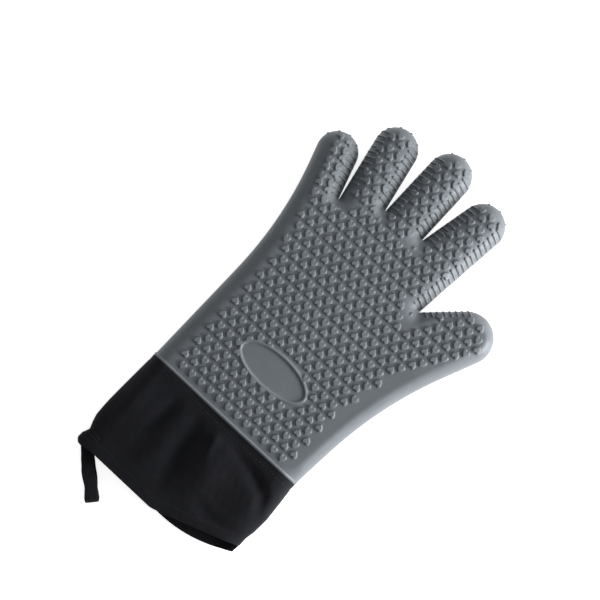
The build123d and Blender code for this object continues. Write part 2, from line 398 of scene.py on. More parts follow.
def relief(xy, edge, nearest):
    """Height of the raised details above the smooth silicone, at places edge inside the outline."""
    height = heart_height * rise(heart_distance(xy), *heart_edge)
    sides = outline.fine_sides[nearest]
    for digit, which, start, end in rib_windows():
        label = f"{digit.name}_{'right' if which > 0 else 'left'}"
        on_side = (sides == label) | ((sides == digit.name + "_tip") & (digit.side(xy) * which > 4))
        reach = rib_reach.get(digit.name, rib_reach["other"])
        near = np.flatnonzero(on_side & (edge < reach + 1.2))
        place = digit.place(xy[near]) + (rib_droop if which > 0 else 0.0) * (8 - edge[near])
        number = np.round((place - start) / rib_pitch)
        phase = place - start - number * rib_pitch
        along = smooth(1.5 - np.abs(phase) / rib_half_width)
        ends = smooth((edge[near] - 0.1) / 0.7) * smooth((reach - edge[near]) / 0.6)
        window = (number >= 0) & (number * rib_pitch <= end - start)
        head = smooth(1.5 - np.hypot(phase, edge[near] - reach + 0.5) / 0.8)  # round inner end
        height[near] = np.maximum(height[near], rib_height * np.maximum(along * ends, 1.15 * head) * window)
    for x, y, size in nubs:
        gap = np.hypot(xy[:, 0] - x, xy[:, 1] - y)
        height = np.maximum(height, size * smooth(1.6 - gap / nub_radius))
    return height


def nub_places():
    """Small nubs round each fingertip and one in each web."""
    places = []
    for name, digit in digits.items():
        if name == "thumb":
            continue
        reach = digit.tip_radius - 1.0
        for turn in (-52, -18, 16, 50) if name in ("pinky", "ring") else (-36, 0, 36):
            angle = math.atan2(digit.along[1], digit.along[0]) - math.radians(turn)
            spot = digit.tip + reach * np.array([math.cos(angle), math.sin(angle)])
            places.append((*spot, tip_nub_height))
    for x, y in ((-43.0, 167.2), (-16.2, 181.0), (16.6, 183.2), (46.9, 147.3)):
        places += [(x, y, web_nub_height), (x + 0.3, y + 1.1, web_nub_height)]
    return places


hearts = heart_places()
nubs = nub_places()


def oval_relief(xy):
    """Distance outside the oval, and the height of the raised frame along it."""
    offset = (xy - oval_centre) / oval_radii
    reach = np.hypot(offset[:, 0], offset[:, 1])
    slope = np.hypot(*((xy - oval_centre) / oval_radii**2).T) / np.maximum(reach, 1e-6)
    gap = (reach - 1) / np.maximum(slope, 1e-6)
    return gap, oval_height * smooth(1.6 - np.abs(gap) / oval_half_width)


# ---- meshes
def add_mesh(name, points, faces, material):
    """A new smooth object from points in millimetres and faces."""
    mesh = bpy.data.meshes.new(name)
    mesh.from_pydata((np.asarray(points) * MM).tolist(), [], [list(map(int, f)) for f in faces])
    mesh.validate()
    mesh.polygons.foreach_set("use_smooth", [True] * len(mesh.polygons))
    mesh.materials.append(material)
    obj = bpy.data.objects.new(name, mesh)
    bpy.context.collection.objects.link(obj)
    return obj


def part_mesh(name, points, faces, material):
    """An object from some of the faces, and which of the points it uses."""
    used = np.unique(np.concatenate([np.asarray(f) for f in faces]))
    place = np.full(len(points), -1)
    place[used] = np.arange(len(used))
    return add_mesh(name, points[used], [[place[v] for v in f] for f in faces], material), used


def hex_grid(step):
    """Points of an even triangular grid over the whole glove."""
    rows = []
    for j, y in enumerate(np.arange(skirt_end + step * 0.6, 262, step * 0.866)):
        xs = np.arange(-92, 112, step) + (step / 2 if j % 2 else 0)
        rows.append(np.column_stack([xs, np.full(len(xs), y)]))
    return np.concatenate(rows)


def ribbed(points, reach):
    """Whether each place lies beside an edge with ribs."""
    edge, nearest = outline.distance(points)
    return ~np.isin(outline.fine_sides[nearest], sorted(BARE_SIDES)) & (edge < reach) & (points[:, 1] > 100)


def detail_points():
    """Mesh points inside the rings: dense along the raised details and the lip, sparse between them."""
    template = heart_mesh_points()
    groups = [template * (1, way) + (x, y) for x, y, way in hearts]
    groups = [g[np.abs(oval_relief(g)[0]) > 1.7] for g in groups]
    turn = np.linspace(0, 2 * math.pi, 200, endpoint=False)
    circle = np.column_stack([np.cos(turn), np.sin(turn)])
    normal = circle / oval_radii
    normal /= np.linalg.norm(normal, axis=1, keepdims=True)
    for gap in (-1.3, -0.9, -0.5, 0.0, 0.5, 0.9, 1.3):
        groups.append(oval_centre + circle * oval_radii + normal * gap)
    xs = np.arange(-70, 72, 0.9)
    for y in np.arange(1.4, 5.6, 0.4):
        groups.append(np.column_stack([xs, np.full(len(xs), y)]))

    reach = rib_reach["other"] + 1.0
    fine, coarse = hex_grid(0.36), hex_grid(1.05)
    fine = fine[ribbed(fine, reach) & (heart_distance(fine) < -0.6)]
    clear = (heart_distance(coarse) < -0.75) & ~ribbed(coarse, reach + 0.3)
    clear &= np.abs(oval_relief(coarse)[0]) > 1.9
    clear &= (coarse[:, 1] < 0.9) | (coarse[:, 1] > 6.2)
    points = np.concatenate(groups + [fine, coarse[clear]])
    return points[outline.distance(points)[0] > ring_run + 0.3]


def flat_mesh(step, inner_points):
    """Triangulates the glove from above: rings along the outline, then the given points inside them.

    Gives points, triangles, the number of points on the outline, and each point's distance to the edge
    and nearest place on it."""
    chain, inward, _ = glove_chain(step)
    angle_end = math.acos(1 - ring_run / side_run)
    count = max(int(side_rise * angle_end / max(step, 0.6)), 3)
    depths = [side_run * (1 - math.cos(angle_end * k / count)) for k in range(count + 1)]
    layers = [chain + inward * depth for depth in depths]
    for layer in layers:
        layer[0, 1] = layer[-1, 1] = skirt_end
    n = len(chain)
    points = np.concatenate(layers)
    k, i = np.meshgrid(np.arange(count) * n, np.arange(n - 1), indexing="ij")
    low, high = (k + i).ravel(), (k + n + i).ravel()
    quads = [np.column_stack([low, low + 1, high + 1]), np.column_stack([low, high + 1, high])]
    inner = layers[-1]
    left, right = inner[0, 0], inner[-1, 0]
    bottom_count = int((right - left) / max(step, 1.0))
    bottom = [(x, skirt_end) for x in np.linspace(right, left, bottom_count + 1)[1:-1]]
    rim = [tuple(p) for p in inner] + bottom
    loop = list(range(len(rim)))[::-1]
    found, _, triangles, origins, _, _ = delaunay_2d_cdt(
        [Vector(p) for p in rim] + [Vector(p) for p in inner_points], [], [loop], 1, 1e-5, True
    )
    index = np.empty(len(found), int)
    extra = []
    for i, source in enumerate(origins):
        if source and source[0] < n:
            index[i] = count * n + source[0]
        else:
            index[i] = len(points) + len(extra)
            extra.append(tuple(found[i]))
    points = np.concatenate([points, np.array(extra)])
    inner_faces = index[np.array(triangles)]
    gap, _ = outline.distance(points[inner_faces].mean(1))
    keep = (gap > ring_run - step / 2) & (points[inner_faces][:, :, 1].max(1) > skirt_end + 0.01)
    faces = np.concatenate([*quads, inner_faces[keep]])
    p = points[faces]
    turned = cross((p[:, 1] - p[:, 0]).T, (p[:, 2] - p[:, 0]).T) < 0
    faces[turned] = faces[turned][:, ::-1]
    edge, nearest = outline.distance(points)
    edge = np.maximum(edge, 0)
    edge[:n] = 0
    return points, faces, n, edge, nearest


def side_profile(xy, edge):
    """Height above the middle and the surface's normal, outwards and up, at places edge inside."""
    x, y = xy.T
    flat_side = rise(x, 50, 62) * smooth((190 - y) / 20) * rise(y, 2, 16)
    run = side_run + (flat_side_run - side_run) * flat_side
    share = np.clip(1 - edge / run, 0, 1)
    height = side_straight + side_rise * np.sqrt(np.clip(1 - share**2, 0, 1))
    out = share / run
    up = np.sqrt(np.clip(1 - share**2, 0, 1)) / side_rise
    size = np.hypot(out, up)
    size[size < 1e-9] = 1
    return height, out / size, up / size


def lip(y):
    """The bead along the silicone's end, over the cuff's edge."""
    return 0.75 * smooth(1.5 - np.abs(y - (cuff_top + 1.3)) / 0.8)


def outward_of(xy, nearest):
    """Unit direction in plan from a place to the nearest edge."""
    spots = outline.fine[nearest]
    away = spots - xy
    size = np.linalg.norm(away, axis=1)
    flat = -outline.fine_normals[nearest]
    use = (size > 0.6)[:, None]
    return np.where(use, away / np.maximum(size, 1e-9)[:, None], flat)


def swell(xy):
    """Gentle unevenness of a hollow glove that lies on a table."""
    x, y = xy[:, 0] / 40, xy[:, 1] / 40
    wave = np.sin(1.3 * x + 0.9 * y + 0.6) + 0.7 * np.sin(2.1 * y - 1.1 * x + 2.0)
    wave = wave + 0.5 * np.sin(2.9 * x + 1.7)
    return 0.28 * wave


def silicone_surface(xy, edge, nearest, front):
    """Points of the front or back surface, with the raised details, and how raised each is."""
    height, out, up = side_profile(xy, edge)
    raised = relief(xy, edge, nearest)
    if front:
        gap, rim = oval_relief(xy)
        raised = np.where(gap < 0.3, rim, np.maximum(raised * smooth((gap - 0.2) / 0.8), rim))
    top = smooth(edge / side_run)
    skirt = (1 - rise(xy[:, 1], cuff_top - 0.6, cuff_top + 0.2)) * skirt_inset
    skirt = skirt + (1 - rise(xy[:, 1], skirt_end, cuff_top)) * skirt_taper
    bead = lip(xy[:, 1]) * (1.0 if front else 0.35 + 0.65 * (1 - top))
    total = raised + bead - skirt
    away = outward_of(xy, nearest)
    height = height + swell(xy) * top if front else height - top * back_relief
    z = half_thickness + (1 if front else -1) * (height + total * up)
    flat = xy + away * (total * out)[:, None]
    return np.column_stack([flat, z]), raised


def piece_labels(places):
    """Which piece each place in plan belongs to: the palm, or a digit's base or tip."""
    labels = np.full(len(places), "palm", dtype="<U16")
    for name, digit in digits.items():
        reach = digit.place(places)
        width = digit.tip_radius + digit_margin if name != "thumb" else thumb_half_width
        base_start, tip_start = digit.piece_starts()
        on = (np.abs(digit.side(places)) < width) & (reach < digit_reach)
        labels[on & (reach >= base_start)] = f"{name}_base"
        labels[on & (reach >= tip_start)] = f"{name}_tip"
    return labels


def build_silicone(material):
    """Whole outer surface of the silicone, split into a front and back palm and the digits' pieces."""
    xy, faces, n, edge, nearest = flat_mesh(mesh_step, detail_points())
    front, front_raised = silicone_surface(xy, edge, nearest, True)
    back, back_raised = silicone_surface(xy, edge, nearest, False)
    total = len(xy)
    away = -outline.normals
    seam = np.column_stack([outline.points + away * seam_ridge, np.full(n, half_thickness)])
    skirted = outline.points[:, 1] < cuff_top
    seam[skirted, :2] = outline.points[skirted] - away[skirted] * skirt_inset
    seam_low = 2 * total
    points = np.concatenate([front, back, seam])
    band_front = [(i, i + 1, seam_low + i + 1, seam_low + i)[::-1] for i in range(n - 1)]
    band_back = [(total + i, total + i + 1, seam_low + i + 1, seam_low + i) for i in range(n - 1)]
    owner = piece_labels(xy[faces].mean(1))
    band_owner = piece_labels((outline.points[:-1] + outline.points[1:]) / 2)
    normals = vertex_normals(points, faces, total, band_front, band_back)
    raised = np.concatenate([front_raised, back_raised, np.zeros(n)])
    pieces = {}
    for label in sorted(set(owner)):
        mine = faces[owner == label]
        rims = np.flatnonzero(band_owner == label)
        front_faces = [tuple(f) for f in mine] + [band_front[i] for i in rims]
        back_faces = [tuple(total + f[::-1]) for f in mine] + [band_back[i] for i in rims]
        groups = {f"silicone_{label}": front_faces + back_faces}
        if label == "palm":
            groups = {}
            for layer, both in (("front", front_faces), ("back", back_faces)):
                for part, is_high in (("high", True), ("low", False)):
                    chosen = [f for f in both if (points[f[0], 1] > palm_split) == is_high]
                    groups[f"silicone_palm_{layer}_{part}"] = chosen
        for piece, chosen in groups.items():
            obj, used = part_mesh(piece, points, chosen, material)
            layer = obj.data.attributes.new("raised", "FLOAT", "POINT")
            layer.data.foreach_set("value", raised[used].astype(np.float32))
            obj.data.normals_split_custom_set_from_vertices(normals[used].tolist())
            pieces[piece] = obj
    return pieces


def vertex_normals(points, faces, total, band_front, band_back):
    """Area-weighted normals of the whole surface, so that the pieces meet without a visible edge."""
    quads = np.array(band_front + band_back)
    triangles = np.concatenate([faces, total + faces[:, ::-1], quads[:, [0, 1, 2]], quads[:, [0, 2, 3]]])
    p = points[triangles]
    weights = np.cross(p[:, 1] - p[:, 0], p[:, 2] - p[:, 0])
    normals = np.zeros_like(points)
    for k in range(3):
        np.add.at(normals, triangles[:, k], weights)
    size = np.linalg.norm(normals, axis=1)
    size[size < 1e-12] = 1
    return normals / size[:, None]


# ---- materials
class Shader:
    """A new node material with a Principled shader."""

    def __init__(self, name):
        self.material = bpy.data.materials.new(name)
        self.material.use_nodes = True
        self.tree = self.material.node_tree
        self.surface = self.tree.nodes["Principled BSDF"]

    def feed(self, socket, value):
        """Links another node's output to a socket, or sets its value."""
        if isinstance(value, bpy.types.NodeSocket):
            self.tree.links.new(value, socket)
        else:
            socket.default_value = value

    def add(self, kind, inputs=(), **settings):
        """A new node with its settings and inputs."""
        node = self.tree.nodes.new(kind)
        for key, value in settings.items():
            setattr(node, key, value)
        for key, value in dict(inputs).items():
            self.feed(node.inputs[key], value)
        return node

    def set(self, **values):
        """Feeds the Principled shader's inputs, with _ for each space in their names."""
        for key, value in values.items():
            self.feed(self.surface.inputs[key.replace("_", " ")], value)

    def coordinates(self):
        return self.add("ShaderNodeTexCoord").outputs["Object"]

    def noise(self, scale, detail=3.0, roughness=0.5):
        inputs = {"Scale": scale, "Detail": detail, "Roughness": roughness, "Vector": self.coordinates()}
        return self.add("ShaderNodeTexNoise", inputs).outputs["Fac"]

    def ramp(self, source, low, high):
        """A colour between two stops, each a place and a colour."""
        node = self.add("ShaderNodeValToRGB", {"Fac": source})
        for element, (place, colour) in zip(node.color_ramp.elements, (low, high)):
            element.position = place
            element.color = (*colour, 1)
        return node.outputs["Color"]

    def math(self, operation, *terms):
        return self.add("ShaderNodeMath", enumerate(terms), operation=operation).outputs[0]

    def bump(self, height, distance, strength):
        inputs = {"Distance": distance, "Strength": strength, "Height": height}
        self.set(Normal=self.add("ShaderNodeBump", inputs).outputs["Normal"])


def silicone_material():
    """Satin blue-grey silicone, a little lighter where it is raised and handled."""
    s = Shader("silicone")
    base = s.ramp(s.noise(38, 4, 0.6), (0.3, (0.107, 0.121, 0.134)), (0.75, (0.126, 0.142, 0.156)))
    worn = s.math("MULTIPLY", s.add("ShaderNodeAttribute", attribute_name="raised").outputs["Fac"], 0.16)
    inputs = {"Fac": worn, "Color1": base, "Color2": (0.18, 0.2, 0.217, 1)}
    grain = s.noise(1400, 2, 0.5)
    s.set(
        Base_Color=s.add("ShaderNodeMixRGB", inputs, blend_type="MIX").outputs["Color"],
        Roughness=s.math("ADD", s.math("MULTIPLY", grain, 0.12), 0.45),
        IOR=1.43,
    )
    s.bump(grain, 0.00006, 0.5)
    return s.material


def cloth_height(s, pitch, lean):
    """Height of a twill: fine slanting ribs crossed by single threads."""
    x, y, _ = s.add("ShaderNodeSeparateXYZ", {0: s.coordinates()}).outputs
    slant = s.math("ADD", x, s.math("MULTIPLY", y, lean))
    rib = s.math("SINE", s.math("MULTIPLY", slant, 2 * math.pi / pitch))
    thread = s.math("SINE", s.math("MULTIPLY", y, 2 * math.pi / (pitch * 0.8)))
    return s.math("ADD", s.math("MULTIPLY", rib, 0.7), s.math("MULTIPLY", thread, 0.3))


def twill_material(name, low, high, pitch):
    """Matt woven cloth with faint blotches, between two shades."""
    s = Shader(name)
    fuzz = s.noise(900, 3, 0.7)
    blotch = s.noise(45, 4, 0.6)
    shade = s.math("ADD", s.math("MULTIPLY", fuzz, 0.5), s.math("MULTIPLY", blotch, 0.5))
    s.set(Base_Color=s.ramp(shade, (0.35, low), (0.68, high)))
    s.set(Roughness=0.92, Sheen_Weight=0.07, Sheen_Roughness=0.45, Specular_IOR_Level=0.16)
    s.bump(s.math("ADD", cloth_height(s, pitch, 0.9), s.math("MULTIPLY", fuzz, 0.8)), 0.0001, 0.45)
    return s.material


def plain_material(name, low, high, roughness, scale, sheen):
    """Plain soft fibre between two shades."""
    s = Shader(name)
    fuzz = s.noise(scale, 3, 0.7)
    s.set(Base_Color=s.ramp(fuzz, (0.3, low), (0.7, high)), Roughness=roughness, Sheen_Weight=sheen)
    s.bump(fuzz, 0.0001, 0.5)
    return s.material


# ---- cuff
hem_depth = 9.0
fabric = 1.1
cuff_start = 2.4
lining_start, lining_lift = -8.5, 2.6
stitch_row = -2.2  # the stitches by the silicone
hem_stitch_up = hem_depth - 1.2  # the hem's stitches, above its end
stitch_pitch, stitch_length, stitch_radius = 3.1, 2.35, 0.2
stitch_bow, stitch_sink = 0.12, 0.05  # a stitch rises this far at its middle, and lies this deep at its ends
tack_rows, tack_start, tack_radius = (-68.8, -71.3), -65.4, 0.3
# place along the glove, left edge, right edge, height, width of the rounded side
CUFF = np.array(
    [
        (2.4, -69.1, 68.7, 28.0, 15.0),
        (-3.0, -69.3, 69.0, 27.8, 15.0),
        (-14.0, -69.9, 70.0, 26.0, 15.5),
        (-30.0, -70.7, 71.3, 22.6, 17.0),
        (-43.0, -71.3, 70.6, 19.2, 19.0),
        (-51.0, -71.3, 69.0, 17.6, 19.5),
        (-58.0, -71.0, 69.0, 16.2, 20.0),
        (-64.0, -69.4, 68.4, 15.0, 20.0),
        (-69.0, -67.5, 67.6, 14.4, 20.0),
        (-74.0, -69.4, 67.0, 13.6, 20.0),
        (-79.0, -69.6, 66.5, 13.0, 20.0),
        (-84.0, -66.0, 66.0, 12.6, 20.0),
    ]
)


def cuff_at(y):
    """Left edge, right edge, height and side rounding at places along the cuff."""
    order = CUFF[::-1]
    return [np.interp(y, order[:, 0], order[:, k]) for k in range(1, 5)]


def hem_line(x, front):
    """Where the hem ends, at places across the cuff."""
    corner = -80.0 - 1.9 * np.exp(-(((x + 65) / 5) ** 2))  # it sags a little over the loop
    if front:
        return corner + 0.36 * (np.hypot(np.clip(x - 2, 0, None), 3) - 3)
    beyond = np.clip(x - 12, 0, None)
    return corner + 106 - np.sqrt(106**2 - np.minimum(beyond, 70) ** 2)


def path_gap(x, y, path):
    """Distance to a line of points, and the share of the way along it."""
    best = np.full(x.shape, np.inf)
    share = np.zeros(x.shape)
    count = len(path) - 1
    for i in range(count):
        (x0, y0), (x1, y1) = path[i], path[i + 1]
        dx, dy = x1 - x0, y1 - y0
        t = np.clip(((x - x0) * dx + (y - y0) * dy) / (dx * dx + dy * dy), 0, 1)
        gap = np.hypot(x - x0 - t * dx, y - y0 - t * dy)
        share = np.where(gap < best, (i + t) / count, share)
        best = np.minimum(best, gap)
    return best, share


# soft wrinkles of the cuff's front: path, half width, depth (minus is a valley)
WRINKLES = [
    (((-32, -5), (-34, -24), (-37, -46)), 5.5, -2.2),
    (((-13, -5), (-9, -24), (-7, -42), (-3, -62)), 6.5, -2.6),
    (((22, -6), (40, -10), (57, -18), (68, -34)), 5.5, -3.0),
    (((4, -4), (6, -14), (9, -26)), 3.6, 1.5),
    (((11, -4), (14, -20), (17, -38), (22, -58)), 12.0, 3.0),
    (((-58, -12), (-56, -34), (-60, -56)), 8.0, 1.7),
    (((-22, -24), (-20, -46), (-24, -64)), 7.0, 1.6),
    (((20, -52), (38, -56), (60, -52)), 5.0, -1.3),
    (((52, -62), (62, -58), (70, -54)), 3.0, 0.9),
]


def wrinkle(x, y):
    """Height of the front's wrinkles and faint ripples."""
    total = np.zeros(x.shape)
    for path, width, depth in WRINKLES:
        gap, share = path_gap(x, y, path)
        taper = np.sin(np.pi * np.clip(share * 0.86 + 0.07, 0, 1)) ** 0.8
        total += depth * taper * np.exp(-((gap / width) ** 2))
    ripple = 0.05 * np.sin(0.9 * x + 0.35 * y) * np.sin(0.21 * y + 1.0)
    return total + ripple * smooth((y + 78) / 10)


def straight(y):
    """A straight line across the cuff."""
    return lambda x, front: np.full(np.shape(x), y)


def above_hem(up):
    """A line across the cuff, this far above the hem's end."""
    return lambda x, front: hem_line(x, front) + up


def cuff_sheet(front, start, stop, columns=200, rows=120, lift=0.0):
    """Grid of points of the front or back of the cuff, between two lines across it, moved in by lift."""
    side = np.sin(np.linspace(-math.pi / 2, math.pi / 2, columns))
    across = 0.72 * np.linspace(-1, 1, columns) + 0.28 * side  # closer columns on the rounded sides
    across = np.sign(across) * np.abs(across) ** 0.92
    across = np.clip(across / abs(across[0]), -1, 1)
    grid = np.empty((rows, columns, 3))
    for j in range(rows):
        y = np.zeros(columns)
        for _ in range(3):  # the place across depends on the place along, and the other way round
            left, right, _, _ = cuff_at(y)
            x = (left + right) / 2 + (right - left - 2 * lift) / 2 * across
            high, low = start(x, front), stop(x, front)
            y = high + (low - high) * (j / (rows - 1))
        left, right, height, rounding = cuff_at(y)
        edge = np.minimum(x - left, right - x) - lift
        inner = np.clip(1 - edge / (rounding - lift * 0.5), 0, 1)
        level = (height / 2 - lift) * np.sqrt(np.clip(1 - inner**2, 0, 1))
        z = height / 2 + (1 if front else -1) * level
        if front:
            z = z + wrinkle(x, y) * smooth(edge / 12) * smooth((-2 - y) / 12)
        grid[j] = np.column_stack([x, y, z])
    return grid


def grid_normals(grid):
    """Unit normals of a grid of points."""
    normal = np.cross(np.gradient(grid, axis=0), np.gradient(grid, axis=1))
    return normal / np.maximum(np.linalg.norm(normal, axis=2, keepdims=True), 1e-9)


def closed_sheet(name, upper, lower, material, flip=False):
    """A closed sheet between two grids of points."""
    rows, columns, _ = upper.shape
    n = rows * columns
    index = np.arange(n).reshape(rows, columns)
    quads = np.stack([index[:-1, :-1], index[1:, :-1], index[1:, 1:], index[:-1, 1:]], 2).reshape(-1, 4)
    rim = np.concatenate([index[0], index[1:, -1], index[-1, -2::-1], index[-2:0:-1, 0]])
    ahead = np.roll(rim, -1)
    faces = np.concatenate([quads, n + quads[:, ::-1], np.column_stack([rim, ahead, n + ahead, n + rim])])
    if flip:
        faces = faces[:, ::-1]
    return add_mesh(name, np.concatenate([upper.reshape(-1, 3), lower.reshape(-1, 3)]), faces, material)


def cloth_sheet(name, grid, thickness, material, front, swell=0.0):
    """A closed sheet of cloth: its outer side is the grid, moved out by swell."""
    normal = grid_normals(grid) * (1 if front else -1)
    swell = np.broadcast_to(swell, grid.shape[:2])[..., None]
    outer = grid + normal * swell
    return closed_sheet(name, outer, outer - normal * (thickness + swell), material, not front)


def hem_swell(grid, front):
    """The doubled hem stands a little proud, and both rows of stitches lie in grooves."""
    x, y = grid[..., 0], grid[..., 1]
    up = y - hem_line(x, front)
    proud = 0.35 * smooth((hem_depth + 0.6 - up) / 1.6) * smooth(up / 1.2 + 0.35)
    groove = -0.3 * np.exp(-(((up - hem_stitch_up) / 0.8) ** 2))
    seam = -0.2 * np.exp(-(((y - stitch_row) / 0.9) ** 2))
    edge = 0.1 * np.exp(-(((y - 1.2) / 1.2) ** 2))
    swell = proud + groove + seam + edge
    return swell if front else np.minimum(swell, 0.0)


def stitches(name, places, material, radius=stitch_radius):
    """Thread stitches: short bowed rods, each from its start to its end, bowed along its normal."""
    points, faces = [], []
    ring, along = 6, 5
    for start, end, normal in places:
        side = np.cross(unit(end - start), normal)
        base = len(points)
        for j in range(along):
            t = j / (along - 1)
            bow = math.sin(math.pi * t)
            centre = start + (end - start) * t + normal * (stitch_bow * bow - stitch_sink)
            size = radius * (0.55 + 0.45 * bow)
            for k in range(ring):
                a = 2 * math.pi * k / ring
                points.append(centre + size * (math.cos(a) * side + math.sin(a) * normal))
        for j in range(along - 1):
            for k in range(ring):
                a, b = base + j * ring + k, base + j * ring + (k + 1) % ring
                faces.append((a, b, b + ring, a + ring))
        faces.append(tuple(base + k for k in range(ring))[::-1])
        faces.append(tuple(base + (along - 1) * ring + k for k in range(ring)))
    return add_mesh(name, points, faces, material)


def stitch_between(grid):
    """Finds a stitch on a sheet: its start, its end and the upward normal, from its two places in plan."""
    flat = grid.reshape(-1, 3)
    normals = grid_normals(grid).reshape(-1, 3)

    def find(x, y):
        gap = (flat[:, 0] - x) ** 2 + (flat[:, 1] - y) ** 2
        spots = np.argsort(gap)[:4]
        weights = 1 / (gap[spots] + 1e-4)
        height = flat[spots, 2] @ (weights / weights.sum())
        return np.array([x, y, height]), normals[spots[0]]

    def stitch(start, end):
        a, normal = find(*start)
        b, _ = find(*end)
        return a, b, normal * math.copysign(1, normal[2])

    return stitch


def stitch_run(grid, front, line, low, high):
    """A row of stitches along a line across the cuff."""
    stitch = stitch_between(grid)
    places = []
    x = low
    while x + stitch_length < high:
        ends = (x, x + stitch_length)
        places.append(stitch(*((end, float(line(end, front))) for end in ends)))
        x += stitch_pitch
    return places


def build_cuff(cloth, lining, thread):
    """Both sides of the cuff with their hems, linings and stitches, by name."""
    made = {}
    grids = []
    sides = (("cuff_front", True), ("cuff_back", False))
    for name, front in sides:
        grid = cuff_sheet(front, straight(cuff_start), above_hem(0.0))
        made[name] = cloth_sheet(name, grid, fabric, cloth, front, hem_swell(grid, front))
        grids.append(grid)
    for name, front in sides:
        hem = cuff_sheet(front, above_hem(hem_depth), above_hem(0.0), rows=14, lift=fabric + 0.15)
        made[f"{name}_hem"] = cloth_sheet(f"{name}_hem", hem, 1.0, cloth, front)
        lines = (straight(lining_start), above_hem(hem_depth + 0.5))
        inside = cuff_sheet(front, *lines, columns=120, rows=60, lift=lining_lift)
        made[f"{name}_lining"] = cloth_sheet(f"{name}_lining", inside, 0.7, lining, front)
    front, back = grids
    edge_row = stitch_run(front, True, straight(stitch_row), -64, 64)
    edge_row += stitch_run(back, False, straight(stitch_row), -64, 64)
    hem_row = stitch_run(front, True, above_hem(hem_stitch_up), -53, 66)
    hem_row += stitch_run(back, False, above_hem(hem_stitch_up), -62, 62)
    made["cuff_edge_stitches"] = stitches("cuff_edge_stitches", edge_row, thread)
    made["cuff_hem_stitches"] = stitches("cuff_hem_stitches", hem_row, thread)
    stitch = stitch_between(front)
    starts = [(tack_start + i, y - 0.7) for y in tack_rows for i in range(10)]
    tack = [stitch((x, y), (x + 0.4, y + 1.4)) for x, y in starts]
    made["loop_bartack"] = stitches("loop_bartack", tack, thread, tack_radius)
    return made


# ---- hanging loop
loop_length = 34.6
loop_width = 9.5
loop_rise = 7.2
tape = 1.05
swing = JOINTS["loop_swing"]["pos_m"]
eye = next(m for m in frame["record"]["mounts"] if m["name"] == "hanging_eye")["pos_m"]
loop_along = unit(np.subtract(eye, swing)[:2])


def build_loop(material):
    """A tape that leaves the hem's corner, turns over at its far end and comes back over itself."""
    root = np.array(swing[:2]) / MM
    across = np.array([-loop_along[1], loop_along[0]])
    half = loop_rise / 2
    low = tape / 2
    # distance from the root, height, sideways drift of the tape's middle line
    route = [
        (-9.0, half - 0.1, 0.0),
        (-3.0, half - 0.3, 0.0),
        (2.0, half - 1.2, 0.1),
        (8.0, low + 0.5, 0.2),
        (16.0, low, 0.1),
        (24.0, low, -0.1),
        (31.0, low + 0.2, 0.0),
        (loop_length - 0.9, low + 1.3, 0.1),
        (loop_length - 0.4, half, 0.1),
        (loop_length - 1.1, loop_rise - low - 1.2, 0.0),
        (29.5, loop_rise - low + 0.2, 0.5),
        (21.0, loop_rise - low + 0.4, 0.9),
        (12.0, loop_rise - low - 0.1, -0.3),
        (5.0, half + 2.0, -0.1),
        (0.0, half + 1.1, 0.2),
        (-4.0, half + 1.0, 0.2),
        (-9.0, half + 1.1, 0.2),
    ]
    line = smooth_line(np.array(route, float), 150)
    across_tape = np.linspace(-1, 1, 15)
    grid = np.empty((len(line), len(across_tape), 3))
    for j, (reach, height, drift) in enumerate(line):
        width = loop_width / 2 * (0.95 + 0.003 * reach + 0.04 * math.sin(0.4 * reach + 1.2))
        width *= 1 - 0.1 * smooth((reach - loop_length + 3.5) / 3.5)
        for i, t in enumerate(across_tape):
            wave = 0.12 * math.sin(reach * 0.8 + 1.2 * t)
            flat = root + loop_along * reach + across * (drift + t * width)
            crown = 0.16 * (1 - t * t)
            grid[j, i] = (*flat, height + wave * (0.3 + abs(t)) + crown - 0.08)
    half = tape / 2 * (1 - 0.55 * np.abs(across_tape) ** 8)  # its long edges are rounded
    side = grid_normals(grid) * half[None, :, None]
    return closed_sheet("hanging_loop_tape", grid + side, grid - side, material)


def smooth_line(points, count):
    """A smooth curve through the points, at even steps."""
    padded = np.vstack([points[:1], points, points[-1:]])
    dense = []
    for p0, p1, p2, p3 in zip(padded, padded[1:], padded[2:], padded[3:]):
        for t in np.linspace(0, 1, 12, endpoint=False):
            square = (2 * p0 - 5 * p1 + 4 * p2 - p3) * t**2
            cube = (3 * p1 - p0 - 3 * p2 + p3) * t**3
            dense.append(0.5 * (2 * p1 + (p2 - p0) * t + square + cube))
    return even_steps(np.array(dense + [points[-1]]), count)


# ---- liner
liner_step = 2.2
liner_inset = 2.9
liner_wall = 2.6
quilt_height, quilt_run = 0.35, 7


